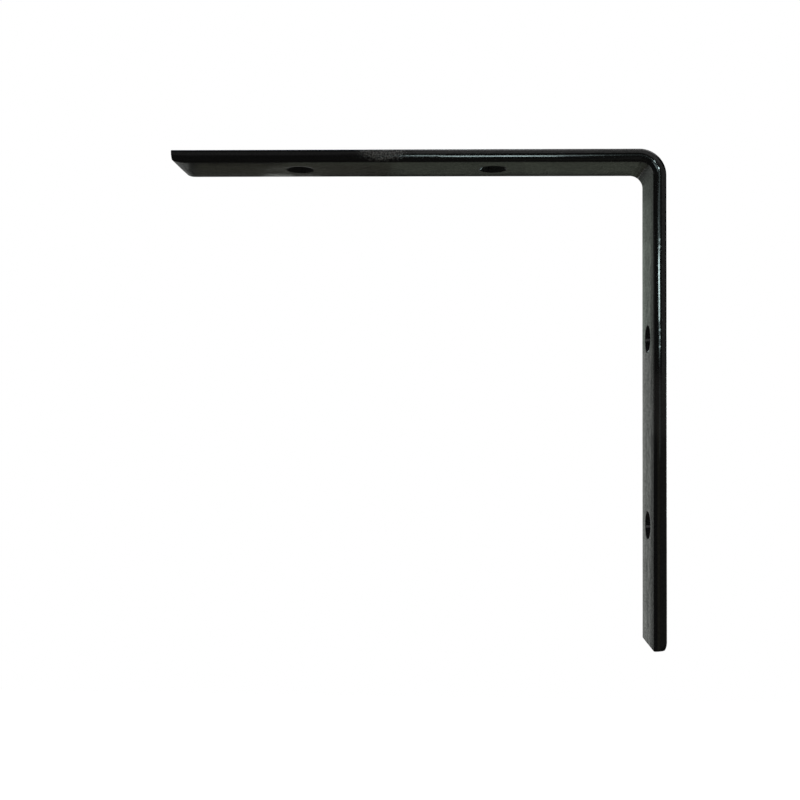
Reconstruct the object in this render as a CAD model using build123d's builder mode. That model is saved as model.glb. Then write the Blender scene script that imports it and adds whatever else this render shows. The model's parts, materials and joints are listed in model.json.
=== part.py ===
from build123d import *
import os

# Shelf bracket: one length of hot-rolled flat steel bar, bent to a right angle and drilled with
# two countersunk screw holes in each leg.
#
# Frame: the origin is the point where the wall plane (X = 0) and the shelf plane (Z = 0) meet, on
# the middle of the bar's width. The shelf leg runs along -X and the wall leg hangs down -Z, so
# the wall is on the +X side and the shelf lies on top.

# Bar stock. Rolling leaves the two narrow sides softly crowned, with rounded arrises.
bar_width = 20.0
bar_thickness = 4.0
side_crown = 0.36  # how far a narrow side bulges past its arrises
arris_radius = 0.65

# Bend and legs. Each leg is measured from the corner of the two planes to its sheared end.
inner_bend_radius = 4.0
shelf_leg_length = 150.0
wall_leg_length = 150.0
# The shear drags one edge of each end over as it enters the bar: this far down the cut, and this
# far back along the face.
roll_over_depth = 1.0
roll_over_reach = 2.7

# Countersunk holes for wood screws, in pairs on the middle of the bar's width
screw_hole_diameter = 4.5
countersink_diameter = 8.5
countersink_angle = 90.0
shelf_tip_to_hole = 38.5
shelf_hole_spacing = 60.0
wall_tip_to_hole = 36.5
wall_hole_spacing = 57.0

with BuildPart() as bracket:
    # The bar follows the line of its outer face, from the shelf leg's tip round to the lower end.
    with BuildLine() as outer_line:
        FilletPolyline(
            (-shelf_leg_length, 0, 0),
            (0, 0, 0),
            (0, 0, -wall_leg_length),
            radius=inner_bend_radius + bar_thickness,
        )

    # The cross-section hangs below that line, with its own X across the bar's width.
    side = bar_width / 2
    arris = side - side_crown
    shelf_tip = Plane(origin=(-shelf_leg_length, 0, 0), x_dir=(0, 1, 0), z_dir=(1, 0, 0))
    with BuildSketch(shelf_tip) as bar_section:
        with BuildLine():
            Line((-arris, 0), (arris, 0))
            ThreePointArc((arris, 0), (side, -bar_thickness / 2), (arris, -bar_thickness))
            Line((arris, -bar_thickness), (-arris, -bar_thickness))
            ThreePointArc((-arris, -bar_thickness), (-side, -bar_thickness / 2), (-arris, 0))
        make_face()
        fillet(bar_section.vertices(), radius=arris_radius)
    sweep(path=outer_line.line)

    # The shear cut the shelf leg's tip from above and the wall leg's lower end from the room side,
    # so it rolled over the underside's edge at the one and the wall side's edge at the other.
    shelf_tip_roll = (-shelf_leg_length, -bar_thickness, 1, roll_over_reach, roll_over_depth)
    lower_end_roll = (0, -wall_leg_length, -1, roll_over_depth, roll_over_reach)
    with BuildSketch(Plane.XZ) as roll_overs:
        for corner_x, corner_z, into_bar, half_x, half_z in (shelf_tip_roll, lower_end_roll):
            with Locations((corner_x, corner_z)):
                Rectangle(2 * half_x, 2 * half_z)
            with Locations((corner_x + into_bar * half_x, corner_z + half_z)):
                Ellipse(half_x, half_z, mode=Mode.SUBTRACT)
    extrude(amount=bar_width, both=True, mode=Mode.SUBTRACT)

    # Each screw goes in from the inside of the angle, so its countersink is on the inner face.
    shelf_holes_x = -shelf_leg_length + shelf_tip_to_hole + shelf_hole_spacing / 2
    wall_holes_z = -wall_leg_length + wall_tip_to_hole + wall_hole_spacing / 2
    underside = Plane(origin=(shelf_holes_x, 0, -bar_thickness), x_dir=(1, 0, 0), z_dir=(0, 0, -1))
    room_side = Plane(origin=(-bar_thickness, 0, wall_holes_z), x_dir=(0, 0, 1), z_dir=(-1, 0, 0))
    for inner_face, hole_spacing in ((underside, shelf_hole_spacing), (room_side, wall_hole_spacing)):
        with Locations(inner_face):
            with GridLocations(hole_spacing, 0, 2, 1):
                CounterSinkHole(
                    radius=screw_hole_diameter / 2,
                    counter_sink_radius=countersink_diameter / 2,
                    counter_sink_angle=countersink_angle,
                )

bracket.part.label = "bracket"
os.makedirs("parts", exist_ok=True)
export_step(bracket.part, "parts/bracket.step")
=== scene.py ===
# %% [markdown]
# # A painted shelf bracket
#
# The real object is one length of flat steel bar. It was sheared to length, drilled and
# countersunk, bent to a right angle and painted black. There is nothing else on it, so all of
# its looks come from four things: the bar's soft crowned sides, the true bend, the crisp
# countersinks, and a thin coat of paint that is never quite level.
#
# The lesson makes it in the order in which the workshop did. First a flat blank with its holes,
# then the bend, then the paint's slow waves, then the paint's colour and gloss, and last the
# studio. Every length but the camera's lens is in metres.

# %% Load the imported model, which is the frame that everything is measured from
import json
from math import asin, copysign, cos, pi, radians, sin, sqrt, tan

import bmesh
import bpy
from mathutils import Matrix, Quaternion, Vector


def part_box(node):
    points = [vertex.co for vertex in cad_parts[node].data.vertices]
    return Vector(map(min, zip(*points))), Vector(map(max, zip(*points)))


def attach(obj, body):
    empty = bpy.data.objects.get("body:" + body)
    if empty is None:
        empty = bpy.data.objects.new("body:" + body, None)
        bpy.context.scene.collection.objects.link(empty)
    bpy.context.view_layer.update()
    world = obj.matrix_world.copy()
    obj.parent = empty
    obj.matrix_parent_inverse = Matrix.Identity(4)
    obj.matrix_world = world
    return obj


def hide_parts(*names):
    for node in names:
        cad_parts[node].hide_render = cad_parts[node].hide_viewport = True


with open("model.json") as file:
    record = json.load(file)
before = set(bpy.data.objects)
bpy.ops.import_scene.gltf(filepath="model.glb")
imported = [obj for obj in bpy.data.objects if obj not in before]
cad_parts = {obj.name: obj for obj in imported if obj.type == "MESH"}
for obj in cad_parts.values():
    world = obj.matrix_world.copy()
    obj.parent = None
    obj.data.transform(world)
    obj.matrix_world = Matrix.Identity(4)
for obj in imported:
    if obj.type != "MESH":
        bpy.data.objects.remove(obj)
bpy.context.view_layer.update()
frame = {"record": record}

# %% [markdown]
# ## Sizes
#
# The frame gives the overall size and the screw holes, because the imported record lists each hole
# as a mount with its place and radius. Only what the record can't say is written here: how thick
# the bar is, how its sides are rounded and how tightly it was bent.

# %% Sizes that the frame gives
MM = 0.001
low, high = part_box("bracket")
SHELF_LEG = -low.x
WALL_LEG = -low.z
BAR_WIDTH = high.y - low.y
screw_mounts = [m for m in frame["record"]["mounts"] if m["kind"] == "bore"]
HOLE_RADIUS = screw_mounts[0]["dims"]["r_mm"] * MM
shelf_holes = [-m["pos_m"][0] for m in screw_mounts if abs(m["axis"][2]) > 0.5]
wall_holes = [-m["pos_m"][2] for m in screw_mounts if abs(m["axis"][0]) > 0.5]
print("legs", SHELF_LEG, WALL_LEG, "holes from the corner", shelf_holes, wall_holes)

# %% Sizes of the bar stock, the bend, the countersinks and the sheared ends
BAR_THICKNESS = 4.0 * MM
SIDE_CROWN = 0.36 * MM  # how far a narrow side bulges past its arrises
ARRIS_RADIUS = 0.65 * MM
BEND_RADIUS = 4.0 * MM  # on the inside
COUNTERSINK_RADIUS = 4.25 * MM
ROLL_DEPTH = 1.0 * MM  # the edge that the shear dragged over: down the cut
ROLL_REACH = 2.7 * MM  # and back along the face
ROLL_LONGEST = 5.5 * MM  # the reach at the near corner of the shelf leg's tip
CUT_LEAN = 0.4 * MM  # how much shorter the dragged side of a cut is than the clean side
TIP_SKEW = 0.55 * MM  # how far out of square the cut is across the bar, at the shelf leg's tip
FOOT_SKEW = 0.95 * MM  # and at the wall leg's lower end
SHARP_EDGE = 0.14 * MM  # paint rounds even a sharp edge by about its own thickness
RIM_EDGE = 0.22 * MM  # and the countersinks' rims a little more
SIDE_DRAW = 0.06  # how much the stretched outside of the bend narrows, as a share of its stretch

OUTER_BEND = BEND_RADIUS + BAR_THICKNESS
NEUTRAL_RADIUS = BEND_RADIUS + BAR_THICKNESS / 2  # the layer that keeps its length in the bend
BEND_START = -OUTER_BEND  # along the flat blank, where the shelf leg stops being straight
BEND_LENGTH = NEUTRAL_RADIUS * pi / 2
BLANK_START = -SHELF_LEG
BLANK_END = BEND_START + BEND_LENGTH + WALL_LEG - OUTER_BEND
print("blank length, mm:", round((BLANK_END - BLANK_START) / MM, 2))

# %% [markdown]
# ## The bar's cross-section
#
# Hot-rolled flat bar isn't a rectangle. Its faces are flat, but the narrow sides are left a
# little convex and the four arrises are round, and on glossy black paint that is what one sees:
# the crown gathers a lamp into one thin bright line. A bevel on a box would miss it, so the
# outline is worked out from the two radii and sampled closely enough to look smooth.
#
# A point of the outline is (across, depth): depth 0 is the outer face, which meets the wall and
# the shelf, and depth BAR_THICKNESS is the inner face. The list runs once round, and starts with
# the outer face, from left to right.

# %% The outline of the section
FACE_STEPS = 32  # along each flat face
ARRIS_STEPS = 7
CROWN_STEPS = 10


def arc_points(centre, radius, start, end, steps):
    """Points on an arc, from just after its start to its end. Angle 0 points along across."""
    turns = [start + (end - start) * k / steps for k in range(1, steps + 1)]
    return [(centre[0] + radius * cos(a), centre[1] + radius * sin(a)) for a in turns]


def section_outline():
    """The right half's flat and side are worked out, then mirrored for the left side."""
    crown_radius = ((BAR_THICKNESS / 2) ** 2 + SIDE_CROWN**2) / (2 * SIDE_CROWN)
    crown_centre = (BAR_WIDTH / 2 - crown_radius, BAR_THICKNESS / 2)
    rise = BAR_THICKNESS / 2 - ARRIS_RADIUS
    turn = asin(rise / (crown_radius - ARRIS_RADIUS))  # where the arris runs into the crown
    flat = crown_centre[0] + (crown_radius - ARRIS_RADIUS) * cos(turn)
    upper = arc_points((flat, ARRIS_RADIUS), ARRIS_RADIUS, -pi / 2, -turn, ARRIS_STEPS)
    crown = arc_points(crown_centre, crown_radius, -turn, turn, CROWN_STEPS)
    lower_centre = (flat, BAR_THICKNESS - ARRIS_RADIUS)
    lower = arc_points(lower_centre, ARRIS_RADIUS, turn, pi / 2, ARRIS_STEPS)
    face = [flat * (2 * k / FACE_STEPS - 1) for k in range(FACE_STEPS + 1)]
    outer = [(across, 0.0) for across in face]
    right = (upper + crown + lower)[:-1]
    inner = [(-across, BAR_THICKNESS) for across in face]
    left = [(-across, BAR_THICKNESS - depth) for across, depth in right]
    return outer + right + inner + left, flat


OUTLINE, FLAT_HALF = section_outline()
SIDE_STEPS = 2 * ARRIS_STEPS + CROWN_STEPS
RING = len(OUTLINE)
INNER_FIRST = FACE_STEPS + SIDE_STEPS  # the outline's index where the inner face starts
print("section points", RING, "flat face, mm:", round(2 * FLAT_HALF / MM, 2))

# %% [markdown]
# ## The blank
#
# Every hole needs a clean rim, because a countersink's edge is where paint catches the light. A
# boolean would cut the holes but leave slivers round them, and those show in a glossy finish. So
# the blank is drawn as a draughtsman would: a grid along the bar with a square window left open
# at each hole, and in each window rings of quads that turn the square into the circle.
#
# First come the stations, which are the places along the bar where the outline is repeated. They
# are even between the windows, close together at the sheared ends, and regular in the bend.

# %% Where the rows of the blank go
PITCH = 2 * FLAT_HALF / FACE_STEPS
WINDOW_STEPS = 22
WINDOW_HALF = WINDOW_STEPS / 2 * PITCH
EDGE_STEPS = 4  # over a sheared end's sharp edge
END_STEPS = 18  # and on, over the rolled edge
END_CROWDING = 1.4  # how much closer those rows are towards the end
BEND_STEPS = 26


def along_wall(from_corner):
    """A distance down the wall leg, as a place on the flat blank."""
    return BEND_START + BEND_LENGTH + from_corner - OUTER_BEND


def even_rows(start, end):
    """Rows about a pitch apart from start to end, without start itself."""
    steps = max(1, round((end - start) / PITCH))
    return [start + (end - start) * k / steps for k in range(1, steps + 1)]


def end_rows():
    """Distances from a sheared end, crowded towards it so that its round edges are smooth."""
    turns = [pi / 2 * k / EDGE_STEPS for k in range(1, EDGE_STEPS + 1)]
    edge = [SHARP_EDGE * (1 - cos(turn)) for turn in turns]
    shares = [(k / END_STEPS) ** END_CROWDING for k in range(1, END_STEPS + 1)]
    room = ROLL_LONGEST - SHARP_EDGE
    return [0.0] + edge + [SHARP_EDGE + room * share for share in shares]


hole_places = sorted([-x for x in shelf_holes] + [along_wall(z) for z in wall_holes])


def blank_rows():
    """Every row along the blank, and the index of the row where each hole's window starts."""
    rows = [BLANK_START + r for r in end_rows()]
    windows = []
    stops = [(place - WINDOW_HALF, "window") for place in hole_places] + [(BEND_START, "bend")]
    for place, kind in sorted(stops):
        rows += even_rows(rows[-1], place)
        if kind == "window":
            windows.append(len(rows) - 1)
            rows += [place + PITCH * k for k in range(1, WINDOW_STEPS + 1)]
        else:
            rows += [place + BEND_LENGTH * k / BEND_STEPS for k in range(1, BEND_STEPS + 1)]
    tail = [BLANK_END - r for r in reversed(end_rows())]
    rows += even_rows(rows[-1], tail[0])
    return rows + tail[1:], windows


ROWS, WINDOWS = blank_rows()
print("rows", len(ROWS), "windows start at rows", WINDOWS)

# %% [markdown]
# ## Sheared ends
#
# A guillotine blade doesn't cut cleanly. It first drags the surface over, so one edge of the end
# is softly rounded and the opposite one stays sharp. At the shelf leg's tip the soft edge is on
# the underside, and at the wall leg's lower end it is on the wall side. The section is squeezed
# towards the end by a quarter of an ellipse, and the sharp edges get only the paint's own radius.
#
# Nor does it cut quite square. Both cuts lean and stand a little askew, and at the near corner of
# the shelf leg's tip, where the blade came down first, the soft edge reaches further back. A bevel
# modifier would round every edge alike, so the rule is applied point by point.


# %% The outline at a row, with the shear's effect near the two ends
CUT_FADE = 16 * MM  # past this distance from a cut, the rows are square again


def ellipse_drop(distance, reach, depth):
    """How far a quarter ellipse has dropped at this distance from the end."""
    if distance >= reach:
        return 0.0
    return depth * (1 - sqrt(1 - (1 - distance / reach) ** 2))


def out_of_square(place, across, depth):
    """How far a point moves along the bar, because neither cut is quite square."""
    from_tip = place - BLANK_START
    from_foot = BLANK_END - place
    share = depth / BAR_THICKNESS
    if from_tip < from_foot:
        sign, skew, lean = 1, TIP_SKEW, share
    else:
        sign, skew, lean = -1, -FOOT_SKEW, 1 - share
    fade = max(0.0, 1 - min(from_tip, from_foot) / CUT_FADE)
    return fade * (skew * (across / BAR_WIDTH + 0.5) + sign * CUT_LEAN * lean)


def row_outline(place):
    """(across, depth) round the bar at a place along the blank."""
    from_tip = place - BLANK_START
    from_foot = BLANK_END - place
    at_tip = from_tip < from_foot
    foot_drop = ellipse_drop(from_foot, ROLL_REACH, ROLL_DEPTH)
    round_off = ellipse_drop(min(from_tip, from_foot), SHARP_EDGE, SHARP_EDGE)
    points = []
    for across, depth in OUTLINE:
        share = depth / BAR_THICKNESS  # 0 on the outer face and 1 on the inner face
        near = min(max(-2 * across / BAR_WIDTH, 0.0), 1.0)  # 0 in the middle, 1 on the near side
        reach = ROLL_REACH + (ROLL_LONGEST - ROLL_REACH) * near
        tip_drop = ellipse_drop(from_tip, reach, ROLL_DEPTH)
        depth -= tip_drop * share - foot_drop * (1 - share)
        across *= 1 - round_off / (BAR_WIDTH / 2)
        depth += round_off * (1 - share) ** 2 if at_tip else -round_off * share**2
        points.append((across, depth))
    return points


tip_row = row_outline(BLANK_START)
print("the tip's section is", round((tip_row[0][1] - tip_row[INNER_FIRST][1]) / -MM, 2), "mm thick")


# %% Build the blank's vertices and faces
vertices = []
faces = []


def add_vertex(along, across, depth):
    """The blank lies flat, with its outer face up: along is X, across is Y and depth is -Z."""
    vertices.append((along, across, -depth))
    return len(vertices) - 1


def bridge(first, second, closed=True):
    """Quads between two equal rows of vertices."""
    count = len(first)
    for k in range(count if closed else count - 1):
        n = (k + 1) % count
        faces.append((first[k], first[n], second[n], second[k]))


def row_vertices(place):
    """One row of the grid, moved along by the two cuts' lean and skew."""
    outline = row_outline(place)
    return [add_vertex(place + out_of_square(place, a, d), a, d) for a, d in outline]


grid = [row_vertices(place) for place in ROWS]
WINDOW_FIRST = (FACE_STEPS - WINDOW_STEPS) // 2  # the window's first column on a flat face


def in_window(row, column):
    """Whether the grid's quad at this row and outline index is inside a hole's window."""
    if not any(start <= row < start + WINDOW_STEPS for start in WINDOWS):
        return False
    outer = WINDOW_FIRST <= column < WINDOW_FIRST + WINDOW_STEPS
    inner = WINDOW_FIRST <= column - INNER_FIRST < WINDOW_FIRST + WINDOW_STEPS
    return outer or inner


for row in range(len(ROWS) - 1):
    here, beyond = grid[row], grid[row + 1]
    for column in range(RING):
        after = (column + 1) % RING
        if not in_window(row, column):
            faces.append((here[column], here[after], beyond[after], beyond[column]))
print("grid vertices", len(vertices), "faces", len(faces))

# %% [markdown]
# ## Countersunk holes
#
# Each hole is one list of rings, from the inner face's window, over the soft rim, down the cone,
# round into the bore and out through the outer face. The profile is written once as (radius,
# depth) and turned about each hole's axis.


# %% The profile of a countersunk hole, from the inner face to the outer face
RIM_STEPS = 5
CONE_STEPS = 6
THROAT_STEPS = 3
BORE_STEPS = 5
EXIT_STEPS = 4


def corner_arc(centre_radius, centre_height, edge, start, end, steps):
    """Points of a small rounded edge, as (radius, height below the inner face)."""
    turns = [start + (end - start) * k / steps for k in range(steps + 1)]
    return [(centre_radius - edge * sin(a), centre_height - edge * cos(a)) for a in turns]


def hole_profile():
    """The rim, cone and bore. The cone is at 45 degrees, for a screw head of 90."""
    tangent = RIM_EDGE * tan(pi / 8)
    cone_depth = COUNTERSINK_RADIUS - HOLE_RADIUS
    rim_centre = (COUNTERSINK_RADIUS + tangent, RIM_EDGE)
    throat_centre = (HOLE_RADIUS + RIM_EDGE, cone_depth + tangent)
    exit_centre = (HOLE_RADIUS + SHARP_EDGE, BAR_THICKNESS - SHARP_EDGE)
    rim = corner_arc(*rim_centre, RIM_EDGE, 0, pi / 4, RIM_STEPS)
    throat = corner_arc(*throat_centre, RIM_EDGE, pi / 4, pi / 2, THROAT_STEPS)
    exit_edge = corner_arc(*exit_centre, SHARP_EDGE, pi / 2, pi, EXIT_STEPS)
    cone = [blend_points(rim[-1], throat[0], k / CONE_STEPS) for k in range(1, CONE_STEPS)]
    bore = [blend_points(throat[-1], exit_edge[0], k / BORE_STEPS) for k in range(1, BORE_STEPS)]
    return rim + cone + throat + bore + exit_edge


def blend_points(first, second, share):
    """A point part of the way from one point to another."""
    return tuple(a + (b - a) * share for a, b in zip(first, second))


PROFILE = hole_profile()
print("hole profile, mm:", [(round(r / MM, 2), round(h / MM, 2)) for r, h in PROFILE[::4]])


# %% Fill each window with rings
def window_loop(start_row, column_of):
    """The window's border vertices, once round, from one of its corners."""
    last_row = start_row + WINDOW_STEPS
    side = range(WINDOW_STEPS)
    loop = [grid[start_row][column_of(k)] for k in side]
    loop += [grid[start_row + k][column_of(WINDOW_STEPS)] for k in side]
    loop += [grid[last_row][column_of(WINDOW_STEPS - k)] for k in side]
    loop += [grid[last_row - k][column_of(0)] for k in side]
    return loop


LOOP = 4 * WINDOW_STEPS
INNER_RINGS = 6  # between a window's border and its countersink's rim
OUTER_RINGS = 10  # and between the border and the bore, on the outer face
RING_CROWDING = 0.85  # under 1, they are a little closer together near the circle
# One direction, (across, along), for each vertex of the border, starting at the same corner
circle = [(cos(a), sin(a)) for a in (-3 * pi / 4 + 2 * pi * k / LOOP for k in range(LOOP))]


def circle_ring(place, radius, depth):
    """A ring of vertices round a hole's axis."""
    return [add_vertex(place + radius * along, radius * across, depth) for across, along in circle]


def flat_rings(border, place, radius, depth, steps):
    """Rings on a flat face that turn a window's square border into a circle."""
    rings = [border]
    for k in range(1, steps):
        share = (k / steps) ** RING_CROWDING
        ring = []
        for index, (across, along) in zip(border, circle):
            target = (place + radius * along, radius * across, -depth)
            ring.append(add_vertex(*flat_place(vertices[index], target, share)))
        rings.append(ring)
    return rings


def flat_place(corner, target, share):
    """The point part of the way from a border vertex to its target, as (along, across, depth)."""
    x, y, z = blend_points(corner, target, share)
    return x, y, -z


for place, start_row in zip(hole_places, WINDOWS):
    inner_border = window_loop(start_row, lambda k: INNER_FIRST + FACE_STEPS - WINDOW_FIRST - k)
    outer_border = window_loop(start_row, lambda k: WINDOW_FIRST + k)
    rings = flat_rings(inner_border, place, PROFILE[0][0], BAR_THICKNESS, INNER_RINGS)
    rings += [circle_ring(place, radius, BAR_THICKNESS - height) for radius, height in PROFILE]
    rings += reversed(flat_rings(outer_border, place, PROFILE[-1][0], 0.0, OUTER_RINGS))
    for first, second in zip(rings, rings[1:]):
        bridge(first, second)
print("with holes: vertices", len(vertices), "faces", len(faces))


# %% Close the two sheared ends with a grid of quads
def close_end(ring, place):
    """Columns run from the outer face to the inner face. The side columns are the ring's own.

    The others follow the right side's column, drawn in towards the middle of the bar.
    """
    outer = ring[: FACE_STEPS + 1]
    right = ring[FACE_STEPS : INNER_FIRST + 1]
    inner = list(reversed(ring[INNER_FIRST : INNER_FIRST + FACE_STEPS + 1]))
    left = [outer[0]] + list(reversed(ring[INNER_FIRST + FACE_STEPS + 1 :])) + [inner[0]]
    columns = [left]
    for k in range(1, FACE_STEPS):
        face_across = vertices[outer[k]][1]
        column = [outer[k]]
        for j in range(1, SIDE_STEPS):
            _, side, height = vertices[right[j]]
            across = face_across * side / FLAT_HALF
            column.append(add_vertex(place + out_of_square(place, across, -height), across, -height))
        columns.append(column + [inner[k]])
    columns.append(right)
    for first, second in zip(columns, columns[1:]):
        bridge(first, second, closed=False)


close_end(grid[0], BLANK_START)
close_end(grid[-1], BLANK_END)
print("with ends: vertices", len(vertices), "faces", len(faces))

# %% [markdown]
# ## Faces that fall away
#
# The rolls leave a bar's faces level in the middle, but near the arrises they fall away by a few
# hundredths of a millimetre. It is far too little to measure by eye, and still a glossy face shows
# it, because a slope of half a degree moves a reflection by a whole one. The outline could have
# held it, but the holes' rings need it too, so it is one rule for every vertex of the flat blank.

# %% Let both faces fall away towards the arrises, then make the mesh
FACE_FALL = 0.04 * MM
FALL_START = 3.5 * MM  # across the bar, from its middle


def fallen(along, across, height):
    """A vertex of the blank, moved towards the middle of the thickness near the arrises."""
    share = (abs(across) - FALL_START) / (FLAT_HALF - FALL_START)
    share = min(max(share, 0.0), 1.0)
    return along, across, height - FACE_FALL * share**2 * (1 + 2 * height / BAR_THICKNESS)


blank_mesh = bpy.data.meshes.new("flat_blank")
blank_mesh.from_pydata([fallen(*vertex) for vertex in vertices], [], faces)
blank_mesh.validate()
builder = bmesh.new()
builder.from_mesh(blank_mesh)
bmesh.ops.recalc_face_normals(builder, faces=builder.faces)
open_edges = [edge for edge in builder.edges if len(edge.link_faces) != 2]
print("blank: faces", len(builder.faces), "open edges", len(open_edges))
print("blank: volume, mm3:", round(builder.calc_volume() / MM**3))
builder.to_mesh(blank_mesh)
builder.free()

# %% [markdown]
# ## Geometry Nodes: the bend
#
# The bracket's shape follows a rule: everything past the bend line is rolled round the bend's
# centre, and everything past the arc goes straight down. A node tree states that rule once for
# every vertex. The layer half way through the bar keeps its length, the outer layers stretch and
# the inner ones are squeezed, just as in steel, and the stretched side draws in a little. Blender's
# own Simple Deform could bend it too, but takes only an angle, and no radius.
#
# A modifier's inputs are set by their sockets' identifiers, before the object is first evaluated.


# %% Small helpers for node trees
def new_node(tree, kind, **settings):
    """A node of this kind with its settings."""
    node = tree.nodes.new(kind)
    for name, value in settings.items():
        setattr(node, name, value)
    return node


def calculate(tree, operation, *inputs):
    """A Math node's output. Each input is a number or another node's output."""
    node = new_node(tree, "ShaderNodeMath", operation=operation)
    for socket, value in zip(node.inputs, inputs):
        plug(tree, value, socket)
    return node.outputs[0]


def vector_math(tree, operation, *inputs):
    """The same for a Vector Math node."""
    node = new_node(tree, "ShaderNodeVectorMath", operation=operation)
    for socket, value in zip(node.inputs, inputs):
        plug(tree, value, socket)
    return node.outputs["Value" if operation == "LENGTH" else "Vector"]


def plug(tree, value, socket):
    """Links an output to a socket, or sets the socket to a plain value."""
    if isinstance(value, bpy.types.NodeSocket):
        tree.links.new(value, socket)
    else:
        socket.default_value = value


def new_geometry_tree(name, numbers):
    """A Geometry Nodes tree with a geometry input and output, and a named number for each size."""
    tree = bpy.data.node_groups.new(name, "GeometryNodeTree")
    tree.interface.new_socket("Geometry", in_out="INPUT", socket_type="NodeSocketGeometry")
    tree.interface.new_socket("Geometry", in_out="OUTPUT", socket_type="NodeSocketGeometry")
    for label in numbers:
        tree.interface.new_socket(label, in_out="INPUT", socket_type="NodeSocketFloat")
    return tree, tree.nodes.new("NodeGroupInput"), tree.nodes.new("NodeGroupOutput")


def end_tree(tree, geometry, out, material):
    """Makes instances real, gives the geometry its material and links it to the tree's output."""
    realize = tree.nodes.new("GeometryNodeRealizeInstances")
    paint = tree.nodes.new("GeometryNodeSetMaterial")
    paint.inputs["Material"].default_value = material
    tree.links.new(geometry, realize.inputs[0])
    tree.links.new(realize.outputs[0], paint.inputs["Geometry"])
    tree.links.new(paint.outputs[0], out.inputs[0])


def new_object(name, data):
    """An object in the scene."""
    made = bpy.data.objects.new(name, data)
    bpy.context.scene.collection.objects.link(made)
    return made


def run_trees(mesh, name, steps):
    """The mesh after a list of (tree, {input: value}), as a new plain mesh."""
    holder = new_object(name + "_holder", mesh)
    for tree, values in steps:
        modifier = holder.modifiers.new(tree.name, "NODES")
        modifier.node_group = tree
        for item in tree.interface.items_tree:
            if item.in_out == "INPUT" and item.name in values:
                modifier[item.identifier] = values[item.name]
    evaluated = holder.evaluated_get(bpy.context.evaluated_depsgraph_get())
    result = bpy.data.meshes.new_from_object(evaluated)
    result.name = name
    bpy.data.objects.remove(holder)
    return result


# %% The tree that bends the blank
def build_bend_tree(material):
    """Rolls the blank round the bend's centre. Its inputs are the names in the list."""
    names = ["Start", "Outer radius", "Neutral radius", "Angle", "Side draw"]
    tree, given, out = new_geometry_tree("bend_the_bar", names)
    start, outer, neutral, angle, draw = (given.outputs[n] for n in names)
    position = tree.nodes.new("GeometryNodeInputPosition")
    split = tree.nodes.new("ShaderNodeSeparateXYZ")
    tree.links.new(position.outputs[0], split.inputs[0])
    along, across, height = split.outputs
    past = calculate(tree, "SUBTRACT", along, start)
    turn = calculate(tree, "DIVIDE", calculate(tree, "MAXIMUM", past, 0.0), neutral)
    turn = calculate(tree, "MINIMUM", turn, angle)
    arc = calculate(tree, "MULTIPLY", turn, neutral)
    before = calculate(tree, "MINIMUM", past, 0.0)
    after = calculate(tree, "MAXIMUM", calculate(tree, "SUBTRACT", past, arc), 0.0)
    radius = calculate(tree, "ADD", outer, height)
    sine = calculate(tree, "SINE", turn)
    cosine = calculate(tree, "COSINE", turn)
    reach = calculate(tree, "MULTIPLY_ADD", radius, sine, calculate(tree, "ADD", start, before))
    reach = calculate(tree, "MULTIPLY_ADD", after, cosine, reach)
    rise = calculate(tree, "SUBTRACT", calculate(tree, "MULTIPLY", radius, cosine), outer)
    rise = calculate(tree, "SUBTRACT", rise, calculate(tree, "MULTIPLY", after, sine))
    # The draw is strongest half way round, and fades from the outer face to the neutral layer.
    half_wave = calculate(tree, "DIVIDE", pi, angle)
    middle = calculate(tree, "SINE", calculate(tree, "MULTIPLY", turn, half_wave))
    stretch = calculate(tree, "DIVIDE", calculate(tree, "SUBTRACT", radius, neutral), neutral)
    stretch = calculate(tree, "MAXIMUM", stretch, 0.0)
    narrow = calculate(tree, "MULTIPLY", calculate(tree, "MULTIPLY", middle, stretch), draw)
    side = calculate(tree, "MULTIPLY", across, calculate(tree, "SUBTRACT", 1.0, narrow))
    joined = tree.nodes.new("ShaderNodeCombineXYZ")
    for socket, value in zip(joined.inputs, (reach, side, rise)):
        tree.links.new(value, socket)
    move = tree.nodes.new("GeometryNodeSetPosition")
    tree.links.new(given.outputs["Geometry"], move.inputs["Geometry"])
    tree.links.new(joined.outputs[0], move.inputs["Position"])
    end_tree(tree, move.outputs[0], out, material)
    return tree


# %% [markdown]
# ## Geometry Nodes: the paint's slow waves
#
# Hot-rolled steel isn't level, and the paint on it settles in shallow waves, here of three
# hundredths of a millimetre. Nobody sees the waves themselves, but they break a bright reflection
# into dashes, which is how the eye knows paint from plastic. A bump map could do it too, but these
# are real geometry, so that they are in the exported mesh. The surface only sinks, never rises, and
# so it stays inside the bar's box.


# %% The tree that lays the waves
def build_wave_tree(material):
    """Sinks each vertex along its normal by a soft noise."""
    names = ["Height", "Length", "Seed"]
    tree, given, out = new_geometry_tree("paint_waves", names)
    height, length, seed = (given.outputs[n] for n in names)
    position = tree.nodes.new("GeometryNodeInputPosition")
    normal = tree.nodes.new("GeometryNodeInputNormal")
    noise = new_node(tree, "ShaderNodeTexNoise", noise_dimensions="4D")
    noise.inputs["Detail"].default_value = 1.0
    tree.links.new(position.outputs[0], noise.inputs["Vector"])
    tree.links.new(seed, noise.inputs["W"])
    tree.links.new(calculate(tree, "DIVIDE", 1.0, length), noise.inputs["Scale"])
    level = calculate(tree, "MULTIPLY", noise.outputs["Fac"], height)
    sink = new_node(tree, "ShaderNodeVectorMath", operation="SCALE")
    tree.links.new(normal.outputs[0], sink.inputs[0])
    tree.links.new(calculate(tree, "MULTIPLY", level, -1.0), sink.inputs["Scale"])
    move = tree.nodes.new("GeometryNodeSetPosition")
    tree.links.new(given.outputs["Geometry"], move.inputs["Geometry"])
    tree.links.new(sink.outputs[0], move.inputs["Offset"])
    end_tree(tree, move.outputs[0], out, material)
    return tree


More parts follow.
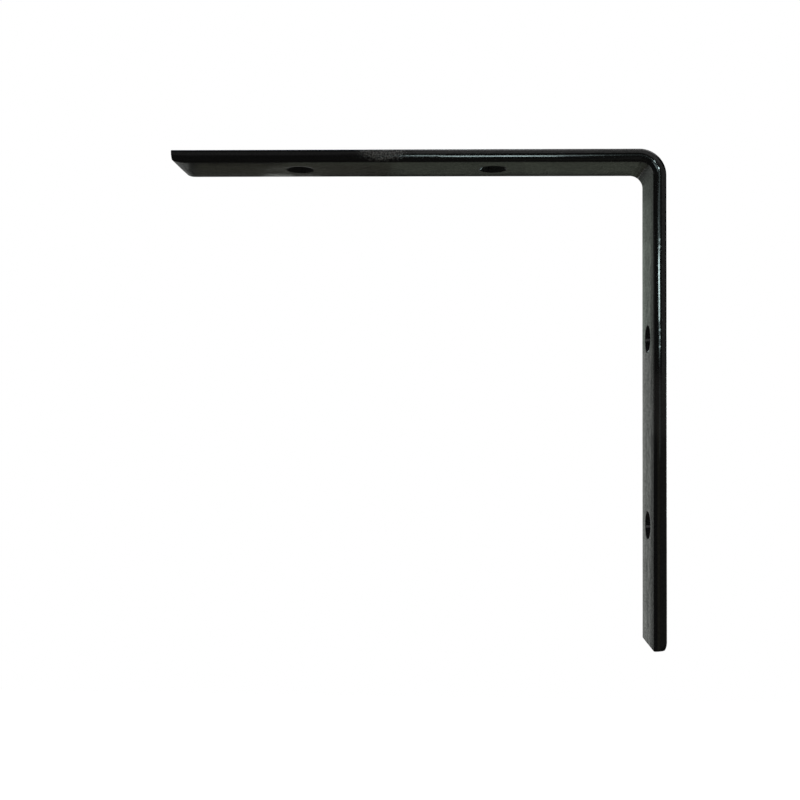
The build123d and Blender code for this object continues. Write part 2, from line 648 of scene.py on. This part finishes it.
# %% [markdown]
# ## Black paint
#
# Black gloss paint has almost no colour of its own, so the finish is all in its roughness, in the
# fine relief that the film dries with, called orange peel, and in a gloss coat that is stronger in
# one speck than in the next. A group makes the relief, and a second one makes the dull, dusty rubs
# that a bracket picks up in a shop, whose grey is also painted sheen along the top and in a faint
# cloud on the wall leg. The shader itself stays in the material. A picture of paint would be
# quicker, but noise has no seams and no limit of detail. All of it reads Object coordinates, so
# the pattern stays with the bracket.


# %% Helpers for shader groups
def new_shader_group(name, inputs, outputs):
    """A shader node group. inputs and outputs are (name, socket type, default)."""
    group = bpy.data.node_groups.new(name, "ShaderNodeTree")
    for way, rows in (("INPUT", inputs), ("OUTPUT", outputs)):
        for label, kind, default in rows:
            socket = group.interface.new_socket(label, in_out=way, socket_type=kind)
            if default is not None:
                socket.default_value = default
    return group, group.nodes.new("NodeGroupInput"), group.nodes.new("NodeGroupOutput")


FLOAT, VECTOR = "NodeSocketFloat", "NodeSocketVector"


def noise_value(tree, vector, size, detail=2.0, seed=0.0, roughness=0.5):
    """A noise of this grain size in metres, between 0 and 1."""
    noise = new_node(tree, "ShaderNodeTexNoise", noise_dimensions="4D")
    plug(tree, vector, noise.inputs["Vector"])
    scale = 1.0 / size if isinstance(size, float) else calculate(tree, "DIVIDE", 1.0, size)
    plug(tree, scale, noise.inputs["Scale"])
    noise.inputs["Detail"].default_value = detail
    noise.inputs["Roughness"].default_value = roughness
    plug(tree, seed, noise.inputs["W"])
    return noise.outputs["Fac"]


def ramp(tree, value, low_edge, high_edge, low_value=0.0, high_value=1.0):
    """A smooth step from one value to another."""
    node = new_node(tree, "ShaderNodeMapRange", interpolation_type="SMOOTHSTEP")
    for socket, number in zip(node.inputs, (value, low_edge, high_edge, low_value, high_value)):
        plug(tree, number, socket)
    return node.outputs[0]


# %% Orange peel: the film's fine relief
PEEL_GRAIN = 1.6 * MM
PEEL_DEPTH = 0.003 * MM
FINE_GRAIN = 0.38  # the finer bumps' size, as a share of the coarser ones'
FINE_HEIGHT = 0.6  # and their height


def build_orange_peel():
    """Two grains of soft bumps, as a height in metres."""
    group, given, out = new_shader_group(
        "orange_peel",
        [("Vector", VECTOR, None), ("Grain", FLOAT, PEEL_GRAIN), ("Depth", FLOAT, PEEL_DEPTH)],
        [("Height", FLOAT, None)],
    )
    vector, grain, depth = given.outputs[:3]
    coarse = noise_value(group, vector, grain, detail=1.0, seed=3.0)
    fine_grain = calculate(group, "MULTIPLY", grain, FINE_GRAIN)
    fine = noise_value(group, vector, fine_grain, detail=1.0, seed=8.0)
    mixed = calculate(group, "MULTIPLY_ADD", fine, FINE_HEIGHT, coarse)
    group.links.new(calculate(group, "MULTIPLY", mixed, depth), out.inputs["Height"])
    return group


orange_peel = build_orange_peel()
print("group:", orange_peel.name, "with", len(orange_peel.nodes), "nodes")


# %% Rubs: dull dusty places with a soft, broken edge, which also carry painted sheen
RUB_GRAIN = 0.5 * MM
SPECK_THRESHOLD = 0.80  # how high the noise must be for a speck. Lower, they run into a cloud
SPECK_SOFTNESS = 0.2  # how much higher it is in a full speck
MIDDLE_HELP = 0.4  # what the middle of a rub adds to the noise
WHOLE_SHARE = 0.35  # how far out that help is full


def build_rub():
    """A mask for dust and painted sheen, strongest in the middle of its place and broken up towards
    its edge.
    """
    group, given, out = new_shader_group(
        "dust_and_sheen_rub",
        [("Vector", VECTOR, None), ("Centre", VECTOR, None), ("Size", VECTOR, None),
         ("Grain", FLOAT, RUB_GRAIN), ("Threshold", FLOAT, SPECK_THRESHOLD)],
        [("Mask", FLOAT, None)],
    )
    vector, centre, size, grain, threshold = given.outputs[:5]
    offset = vector_math(group, "SUBTRACT", vector, centre)
    distance = vector_math(group, "LENGTH", vector_math(group, "DIVIDE", offset, size))
    near = ramp(group, distance, 1.0, WHOLE_SHARE)
    speck = noise_value(group, vector, grain, detail=3.0, seed=5.0, roughness=0.65)
    sure = calculate(group, "ADD", threshold, SPECK_SOFTNESS)
    helped = calculate(group, "MULTIPLY_ADD", near, MIDDLE_HELP, speck)
    broken = ramp(group, helped, threshold, sure)
    group.links.new(calculate(group, "MULTIPLY", broken, near), out.inputs["Mask"])
    return group


dust_and_sheen_rub = build_rub()
print("group:", dust_and_sheen_rub.name, "with", len(dust_and_sheen_rub.nodes), "nodes")


# %% The paint's colours and measures
PAINT_BLACK = (0.0030, 0.0030, 0.0030, 1.0)
# The grey is dust, and where it lies high on the near side and in the wall leg's cloud it is also
# painted sheen
DUST_AND_SHEEN_GREY = (0.060, 0.058, 0.054, 1.0)
DUST_AND_SHEEN_SHARE = 0.70  # how much of the black the grey of dust and painted sheen covers where a rub is full
PAINT_IOR = 1.5
PAINT_ROUGHNESS = 0.10
RUB_ROUGHNESS = 0.30
DRIFT_LENGTH = 9 * MM  # the roughness drifts over this length
DRIFT = 0.02  # by this much each way
DRIFT_EDGES = (0.3, 0.7)  # the noise's value where it is least and most
PIT_LENGTH = 0.5 * MM  # a rub is also pitted
PIT_DEPTH = 0.06 * MM
COAT_WEIGHT = 0.60
COAT_GRAIN = 0.55 * MM  # the specks of the gloss coat
COAT_STRETCH = (1.0, 0.45, 1.0)  # which are drawn out across the bar
COAT_EDGES = (0.33, 0.67)  # the noise's value where the coat starts, and where it is full
# The shelf leg's rub sits high on the near side, and its grey there is dust and painted sheen
shelf_rub_and_sheen_place = {"Centre": (-0.085, low.y, -0.001), "Size": (0.013, 0.006, 0.005)}
# A faint lighter cloud on the wall leg's near side is a painted sheen of the line, with a little
# roughness added
wall_sheen_place = {"Centre": (-0.002, low.y, -0.077), "Size": (0.006, 0.006, 0.015)}
wall_sheen_place["Threshold"] = 0.55  # the wall leg's cloud is painted sheen, dulled a little, and not specks
CLOUD_SHARE = 0.12  # and a faint one
print("paint roughness", PAINT_ROUGHNESS, "and in a rub", RUB_ROUGHNESS)


# %% The paint
def use_group(tree, group, **values):
    """A copy of a group in a tree, with its inputs set by name."""
    node = tree.nodes.new("ShaderNodeGroup")
    node.node_tree = group
    for label, value in values.items():
        plug(tree, value, node.inputs[label])
    return node


def build_paint():
    """Black gloss paint with orange peel and two rubbed places."""
    material = bpy.data.materials.new("black_paint")
    material.use_nodes = True
    tree = material.node_tree
    shader = tree.nodes["Principled BSDF"]
    place = tree.nodes.new("ShaderNodeTexCoord").outputs["Object"]
    shelf_rub_and_sheen = use_group(tree, dust_and_sheen_rub, Vector=place, **shelf_rub_and_sheen_place)
    wall_sheen_cloud = use_group(tree, dust_and_sheen_rub, Vector=place, **wall_sheen_place)
    # Only a small share of the wall leg's painted sheen cloud is used
    faint = calculate(tree, "MULTIPLY", wall_sheen_cloud.outputs[0], CLOUD_SHARE)
    rub_and_sheen = calculate(tree, "MAXIMUM", shelf_rub_and_sheen.outputs[0], faint)

    drift = noise_value(tree, place, DRIFT_LENGTH, detail=2.0, seed=1.0)
    smooth, dull = PAINT_ROUGHNESS - DRIFT, PAINT_ROUGHNESS + DRIFT
    roughness = ramp(tree, drift, *DRIFT_EDGES, smooth, dull)
    added = calculate(tree, "MULTIPLY", rub_and_sheen, RUB_ROUGHNESS - PAINT_ROUGHNESS)
    tree.links.new(calculate(tree, "ADD", roughness, added), shader.inputs["Roughness"])

    # Where the masks are, the black is mixed with the grey of dust and painted sheen
    colour = new_node(tree, "ShaderNodeMix", data_type="RGBA")
    tree.links.new(calculate(tree, "MULTIPLY", rub_and_sheen, DUST_AND_SHEEN_SHARE), colour.inputs["Factor"])
    colour.inputs["A"].default_value = PAINT_BLACK
    colour.inputs["B"].default_value = DUST_AND_SHEEN_GREY
    tree.links.new(colour.outputs["Result"], shader.inputs["Base Color"])
    shader.inputs["IOR"].default_value = PAINT_IOR

    stretched = vector_math(tree, "MULTIPLY", place, COAT_STRETCH)
    grain = noise_value(tree, stretched, COAT_GRAIN, detail=1.0, seed=21.0)
    coat = ramp(tree, grain, *COAT_EDGES, 0.0, COAT_WEIGHT)
    tree.links.new(coat, shader.inputs["Coat Weight"])
    shader.inputs["Coat Roughness"].default_value = PAINT_ROUGHNESS

    peel = use_group(tree, orange_peel, Vector=place)
    pits = noise_value(tree, place, PIT_LENGTH, detail=2.0, seed=11.0, roughness=0.6)
    pits = calculate(tree, "MULTIPLY", calculate(tree, "MULTIPLY", pits, rub_and_sheen), PIT_DEPTH)
    height = calculate(tree, "ADD", peel.outputs["Height"], pits)
    bump = tree.nodes.new("ShaderNodeBump")
    bump.inputs["Strength"].default_value = 1.0
    bump.inputs["Distance"].default_value = 1.0
    tree.links.new(height, bump.inputs["Height"])
    tree.links.new(bump.outputs["Normal"], shader.inputs["Normal"])
    return material


black_paint = build_paint()
print("paint nodes:", len(black_paint.node_tree.nodes))

# %% [markdown]
# ## The painted bracket
#
# The two trees run one after the other on the blank: it is bent first and waved after, because
# the waves lie in the paint and so don't stretch with the steel. The result is one plain mesh with
# smooth shading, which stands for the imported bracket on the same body.

# %% Run the trees, and put the painted bracket in the frame
bend_values = {
    "Start": BEND_START,
    "Outer radius": OUTER_BEND,
    "Neutral radius": NEUTRAL_RADIUS,
    "Angle": pi / 2,
    "Side draw": SIDE_DRAW,
}
wave_values = {"Height": 0.03 * MM, "Length": 4.2 * MM, "Seed": 7.0}
bend_step = (build_bend_tree(black_paint), bend_values)
wave_step = (build_wave_tree(black_paint), wave_values)
bracket_mesh = run_trees(blank_mesh, "painted_bracket", [bend_step, wave_step])
bracket_mesh.polygons.foreach_set("use_smooth", [True] * len(bracket_mesh.polygons))
painted_bracket = new_object("painted_bracket", bracket_mesh)
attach(painted_bracket, "root")
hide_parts("bracket")
print("triangles:", sum(len(p.vertices) - 2 for p in bracket_mesh.polygons))

# %% [markdown]
# ## Studio
#
# A black gloss object shows its surroundings more than its own colour, so the studio decides how
# it looks. The floor is pale and well below the bracket, and the world is white to the camera. A
# room isn't white all round, though, and black paint in one that was would look grey. So the
# world and the floor are mirrored a good deal darker than they are seen. Light Path, which tells
# a camera's ray from a mirrored one, lets one studio be both. The even light on the surfaces is
# the world's, at about the level at which a colour renders as it is written.


# %% White to the camera, plain light for the surfaces
def seen_by(tree, glossy_share):
    """1 for camera and transmission rays, and a share of that for glossy rays."""
    path = tree.nodes.new("ShaderNodeLightPath")
    glossy = calculate(tree, "MULTIPLY", path.outputs["Is Glossy Ray"], glossy_share)
    clear = calculate(tree, "ADD", path.outputs["Is Camera Ray"], path.outputs["Is Transmission Ray"])
    return calculate(tree, "ADD", clear, glossy)


ROOM_LIGHT = 0.9  # what the world gives to the surfaces
ROOM_MIRRORED = 0.02  # how bright the room is in the paint, where white is 1
PLAIN_WHITE = (1.0, 1.0, 1.0, 1.0)


def white_background(tree, strength):
    """A white Background shader. Its strength is a number or another node's output."""
    node = tree.nodes.new("ShaderNodeBackground")
    node.inputs["Color"].default_value = PLAIN_WHITE
    plug(tree, strength, node.inputs["Strength"])
    return node.outputs[0]


def build_world():
    """A world that lights evenly, looks white, and is mirrored darker."""
    world = bpy.data.worlds.new("studio_room")
    world.use_nodes = True
    tree = world.node_tree
    tree.nodes.clear()
    mix = tree.nodes.new("ShaderNodeMixShader")
    tree.links.new(seen_by(tree, 1.0), mix.inputs[0])
    tree.links.new(white_background(tree, ROOM_LIGHT), mix.inputs[1])
    tree.links.new(white_background(tree, seen_by(tree, ROOM_MIRRORED)), mix.inputs[2])
    out = tree.nodes.new("ShaderNodeOutputWorld")
    tree.links.new(mix.outputs[0], out.inputs["Surface"])
    return world


bpy.context.scene.world = build_world()
print("world nodes:", len(bpy.context.scene.world.node_tree.nodes))

# %% The floor
FLOOR_HEIGHT = -2.0
FLOOR_HALF = 8.0  # half of its side
FLOOR_COLOUR = (0.80, 0.81, 0.74, 1.0)
FLOOR_DIMMED = 0.97  # how much of the floor's lit colour the paint doesn't mirror
FLOOR_GLOW_MIRRORED = 0.0  # and how much of the white that it adds for the camera it does


def build_floor_material():
    """A pale floor that adds enough white for the camera to look clean, and keeps its shadow."""
    material = bpy.data.materials.new("pale_floor")
    material.use_nodes = True
    tree = material.node_tree
    tree.nodes.clear()
    path = tree.nodes.new("ShaderNodeLightPath")
    dim = calculate(tree, "MULTIPLY", path.outputs["Is Glossy Ray"], FLOOR_DIMMED)
    shade = new_node(tree, "ShaderNodeMix", data_type="RGBA")
    tree.links.new(dim, shade.inputs["Factor"])
    shade.inputs["A"].default_value = FLOOR_COLOUR
    shade.inputs["B"].default_value = (0.0, 0.0, 0.0, 1.0)
    matt = tree.nodes.new("ShaderNodeBsdfDiffuse")
    tree.links.new(shade.outputs["Result"], matt.inputs["Color"])
    glow = tree.nodes.new("ShaderNodeEmission")
    tree.links.new(seen_by(tree, FLOOR_GLOW_MIRRORED), glow.inputs["Strength"])
    both = tree.nodes.new("ShaderNodeAddShader")
    tree.links.new(matt.outputs[0], both.inputs[0])
    tree.links.new(glow.outputs[0], both.inputs[1])
    out = tree.nodes.new("ShaderNodeOutputMaterial")
    tree.links.new(both.outputs[0], out.inputs["Surface"])
    return material


square = [(-1, -1), (1, -1), (1, 1), (-1, 1)]
corners = [(FLOOR_HALF * x, FLOOR_HALF * y, FLOOR_HEIGHT) for x, y in square]
floor_mesh = bpy.data.meshes.new("floor")
floor_mesh.from_pydata(corners, [], [(0, 1, 2, 3)])
floor_mesh.materials.append(build_floor_material())
floor = new_object("floor", floor_mesh)
print("floor at", FLOOR_HEIGHT, "side", 2 * FLOOR_HALF)

# %% [markdown]
# ## Lamps
#
# On black gloss a lamp isn't a light so much as a shape to be mirrored. The bracket has to show a
# thin bright line along the crown with glints on the bend, pale faces inside the angle, a soft
# edge along the top, and some form from the sides and from behind. One large softbox would wash
# them all together. So each gets lamps of its own: small ones with a grid close to the bar,
# panels above and beside it, and cards far behind it.
#
# A lamp is given by its radiance, which is how bright it looks in a perfect mirror, because that
# doesn't change with its size. Its energy follows from that.

# %% A softbox
WHITE = (1.0, 1.0, 1.0)
COOL = (0.78, 1.0, 1.0)
WARM = (0.96, 1.0, 0.95)
GREENISH = (0.87, 1.0, 0.88)
MOSSY = (0.88, 1.0, 0.76)
EARTHY = (1.0, 1.0, 0.66)
SKY = (0.3, 0.5, 1.0)
NO_GRID = 180.0


def softbox(name, place, target, width, height, radiance, tint=WHITE, grid=NO_GRID, roll=0.0):
    """A rectangular lamp of even brightness, which the camera doesn't see itself.

    A grid narrower than 180 degrees keeps its light within that angle, like a honeycomb. A roll
    turns the rectangle about the way that it faces. Both are in degrees.
    """
    lamp = bpy.data.lights.new(name, "AREA")
    lamp.shape = "RECTANGLE"
    lamp.size = width
    lamp.size_y = height
    lamp.energy = radiance * pi * width * height
    lamp.color = tint
    if grid < NO_GRID:
        half = radians(grid / 2)
        lamp.spread = 2 * half
        lamp.energy *= 1 - half / tan(half)  # a narrow spread is brighter, and this takes it back
    box = new_object(name, lamp)
    box.location = place
    facing = (Vector(target) - Vector(place)).to_track_quat("-Z", "Y")
    box.rotation_euler = (facing @ Quaternion((0.0, 0.0, 1.0), radians(roll))).to_euler()
    box.visible_camera = False
    return box


# %% [markdown]
# ## The line along the crown
#
# The crown turns through a wide angle in 4 mm, so it squeezes whatever is in front of it into a
# thin line. A lamp there is mirrored as a short stretch of that line, where the angles match. Each
# stretch has its own lamp, so that the line can be bright in one place and fade in the next. The
# lamps of the two glints, and of the dashes into which the line breaks up at its ends, are a few
# millimetres wide and 2 or 3 cm from the bar, which keeps them sharp.


# %% The lamps for the crown's line
BAR_SIDE = 10.0 * MM  # from the bar's middle to its side


def line_light(name, distance, middle, lit, size, radiance, grid, roll=0.0):
    """A small lamp with a grid, for one stretch of the crown.

    It stands this far in front of the bar's middle, or behind it if that is negative. middle and
    lit are (x, z): where the lamp is, and the place on the bar's side that it faces.
    """
    place = (middle[0], -distance, middle[1])
    target = (lit[0], -copysign(BAR_SIDE, distance), lit[1])
    return softbox(name, place, target, *size, radiance, COOL, grid, roll)


NEAR_LINES = [
    # name, distance, middle, lit, size, radiance, grid and roll
    # Along the shelf leg
    ("shelf_line_left", 0.26, (-0.0799, 0.045), (-0.074, -0.002), (0.0215, 0.030), 5.0, 14.0),
    ("shelf_line_middle", 0.26, (-0.0382, 0.027), (-0.050, -0.002), (0.062, 0.028), 12.0, 16.0),
    ("shelf_line_end", 0.26, (0.0035, 0.040), (-0.026, -0.002), (0.0215, 0.028), 2.6, 10.0),
    # Two glints on the bend, turned to lie along it
    ("corner_glint", 0.025, (-0.0007, -0.0001), (-0.0036, -0.0038), (0.003, 0.0003), 30.0, 60.0, 45.0),
    ("bend_glint", 0.025, (0.0004, -0.0025), (-0.0023, -0.0062), (0.003, 0.0004), 34.0, 60.0, 19.0),
    # Down the wall leg
    ("wall_line_upper", 0.16, (0.0030, -0.0150), (-0.003, -0.037), (0.022, 0.015), 24.0, 14.0),
    ("wall_line_lower", 0.16, (0.0070, -0.0294), (-0.003, -0.048), (0.020, 0.014), 18.5, 14.0),
    ("wall_line_tail", 0.16, (0.0110, -0.0460), (-0.002, -0.058), (0.020, 0.013), 1.7, 14.0),
    # The dashes at its two ends
    ("dash_upper", 0.03, (-0.0003, -0.0241), (-0.0023, -0.0278), (0.003, 0.0006), 10.0, 60.0),
    ("dash_next", 0.03, (-0.0003, -0.0264), (-0.0023, -0.0300), (0.003, 0.0006), 11.0, 60.0),
    ("dash_first", 0.03, (0.0001, -0.0527), (-0.0022, -0.0547), (0.003, 0.0006), 9.0, 60.0),
    ("dash_second", 0.03, (0.0002, -0.0551), (-0.0022, -0.0570), (0.003, 0.0006), 8.0, 60.0),
    ("dash_third", 0.03, (0.0002, -0.0580), (-0.0022, -0.0598), (0.003, 0.0006), 7.5, 60.0),
    # Faint light above and below them
    ("wall_line_faint", 0.16, (0.0140, -0.078), (-0.002, -0.081), (0.020, 0.034), 0.35, 14.0),
    ("wall_line_dashes", 0.16, (0.0100, -0.0010), (-0.002, -0.027), (0.020, 0.013), 1.8, 14.0),
    ("wall_line_top", 0.16, (0.0114, 0.020), (-0.002, -0.015), (0.020, 0.028), 1.0, 14.0),
]
near_lamps = [line_light(*row) for row in NEAR_LINES]
print("lamps for the near side's line:", len(near_lamps))

# %% [markdown]
# ## Panels above and beside
#
# These are softer and further away. Some stand in front and above, for the top arris and the near
# side, and a low card lifts the foot of the wall leg out of black. The others face the bracket's
# left, right and far sides and its back, which would be plain black without them.

# %% The panels, and the lines on the far side
AIM = (-0.03, 0.0, -0.03)
WALL_FOOT = (-0.002, -0.01, -0.11)
panels = [
    softbox("wall_low_card", (-0.008, -0.26, -0.14), WALL_FOOT, 0.07, 0.13, 0.10, EARTHY, 60.0),
    softbox("upper_front_panel", (0.48, -1.5, 1.05), AIM, 1.4, 0.5, 0.36),
    softbox("left_front_panel", (-0.95, -1.5, 0.95), AIM, 1.7, 0.8, 0.10),
    softbox("high_front_panel", (0.48, -1.1, 1.5), AIM, 1.4, 0.5, 1.05),
    softbox("top_panel", (0.55, 0.0, 1.7), AIM, 1.5, 1.6, 1.5),
    softbox("sky_card", (-0.60, 0.3, 1.75), AIM, 0.6, 1.8, 0.9, SKY),
    softbox("right_front_panel", (0.95, -1.3, 0.36), AIM, 1.0, 0.72, 0.18),
    softbox("right_low_panel", (0.70, -1.3, -0.25), AIM, 1.1, 0.45, 0.05),
    line_light("far_shelf_line", -0.26, (-0.072, 0.090), (-0.072, -0.002), (0.12, 0.030), 6.0, 40.0),
    line_light("far_wall_line", -0.26, (0.090, -0.075), (-0.002, -0.075), (0.030, 0.11), 6.0, 40.0),
    softbox("right_side_panel", (2.2, 0.1, -0.35), AIM, 1.6, 0.9, 0.55),
    softbox("left_side_panel", (-1.8, -0.3, 0.1), AIM, 0.5, 0.4, 0.40),
    softbox("back_high_card", (-0.6, 2.4, 1.4), AIM, 0.3, 0.35, 1.5),
]
print("panels:", len(panels))

# %% [markdown]
# ## Cards far behind
#
# The two faces inside the angle are seen at a low angle, and mirror a strip of the room far behind
# the bracket: the underside a low level strip, and the wall leg's face an upright one on the left.
# The inside of the bend mirrors the stretch that joins them. Cards of different brightness along
# that path shade the faces from end to end.


# %% The cards behind
BACK_WALL = 5.0


def back_card(name, left, right, bottom, top, radiance, tint):
    """A glowing card far behind the bracket, between these edges, square to the Y axis."""
    x, z = (left + right) / 2, (bottom + top) / 2
    return softbox(name, (x, BACK_WALL, z), (x, 0.0, z), right - left, top - bottom, radiance, tint)


BACK_CARDS = [
    # name, left, right, bottom, top, radiance and tint
    # For the wall leg's face, from its foot upwards
    ("back_main", -0.93, -0.45, -0.90, 0.35, 0.365, WARM),
    ("back_main_foot", -0.93, -0.80, -1.095, -0.90, 0.43, WARM),
    ("back_foot_side", -0.80, -0.66, -1.03, -0.90, 0.36, WARM),
    ("back_upper", -0.93, -0.45, 0.35, 0.86, 0.335, GREENISH),
    ("back_top", -0.93, -0.45, 0.86, 1.05, 0.245, GREENISH),
    ("back_top_edge", -0.93, -0.45, 1.05, 1.25, 0.135, GREENISH),
    # For its near edge and the inside of the bend
    ("back_strip", -1.22, -0.93, -1.06, 0.80, 0.06, WARM),
    ("back_side", -1.43, -0.93, -0.45, 0.80, 0.120, GREENISH),
    ("back_side_low", -1.43, -0.93, -1.10, -0.45, 0.070, GREENISH),
    ("back_side_top", -1.43, -0.93, 0.80, 1.20, 0.09, GREENISH),
    ("back_side_edge", -1.56, -1.43, -1.06, 1.20, 0.07, GREENISH),
    # For the underside
    ("back_low_left", -1.28, -0.32, -1.34, -1.12, 0.038, EARTHY),
    ("back_low_middle", -0.32, 0.32, -1.45, -1.11, 0.083, MOSSY),
    ("back_low_right", 0.32, 1.38, -1.45, -1.11, 0.100, MOSSY),
    ("back_under", -0.85, 0.43, -1.89, -1.45, 0.055, MOSSY),
    ("back_under_left", -0.85, -0.32, -1.45, -1.34, 0.05, MOSSY),
    # For the shelf leg's rolled-over tip
    ("back_tip", -2.40, -1.56, -1.11, 0.90, 0.18, WARM),
    ("back_left", -2.29, -1.33, -1.45, -1.11, 0.16, WARM),
]
cards = [back_card(*row) for row in BACK_CARDS]
print("cards:", len(cards))

# %% [markdown]
# ## Camera
#
# The camera stands in front, a little to the right of the middle and a little below half the wall
# leg's height. From there it looks up at the underside and across at the wall leg's inner face, so
# both show as thin slivers beside the near side.

# %% The camera
CAMERA_PLACE = (-0.0665, -0.3443, -0.0876)
PAN = radians(2.209)  # to the left
TILT = radians(1.986)  # upwards
ROLL = radians(-0.397)
LENS = 50.255  # both in millimetres
SENSOR = 36.0
CLIP_START = 0.01
camera = new_object("camera", bpy.data.cameras.new("camera"))
camera.data.lens = LENS
camera.data.sensor_width = SENSOR
camera.data.clip_start = CLIP_START
turn = Matrix.Rotation(PAN, 4, "Z") @ Matrix.Rotation(ROLL, 4, "Y") @ Matrix.Rotation(TILT, 4, "X")
camera.matrix_world = Matrix.Translation(CAMERA_PLACE) @ turn @ Matrix.Rotation(pi / 2, 4, "X")
bpy.context.scene.camera = camera
bpy.context.scene.view_settings.view_transform = "Standard"
print("camera at", CAMERA_PLACE)
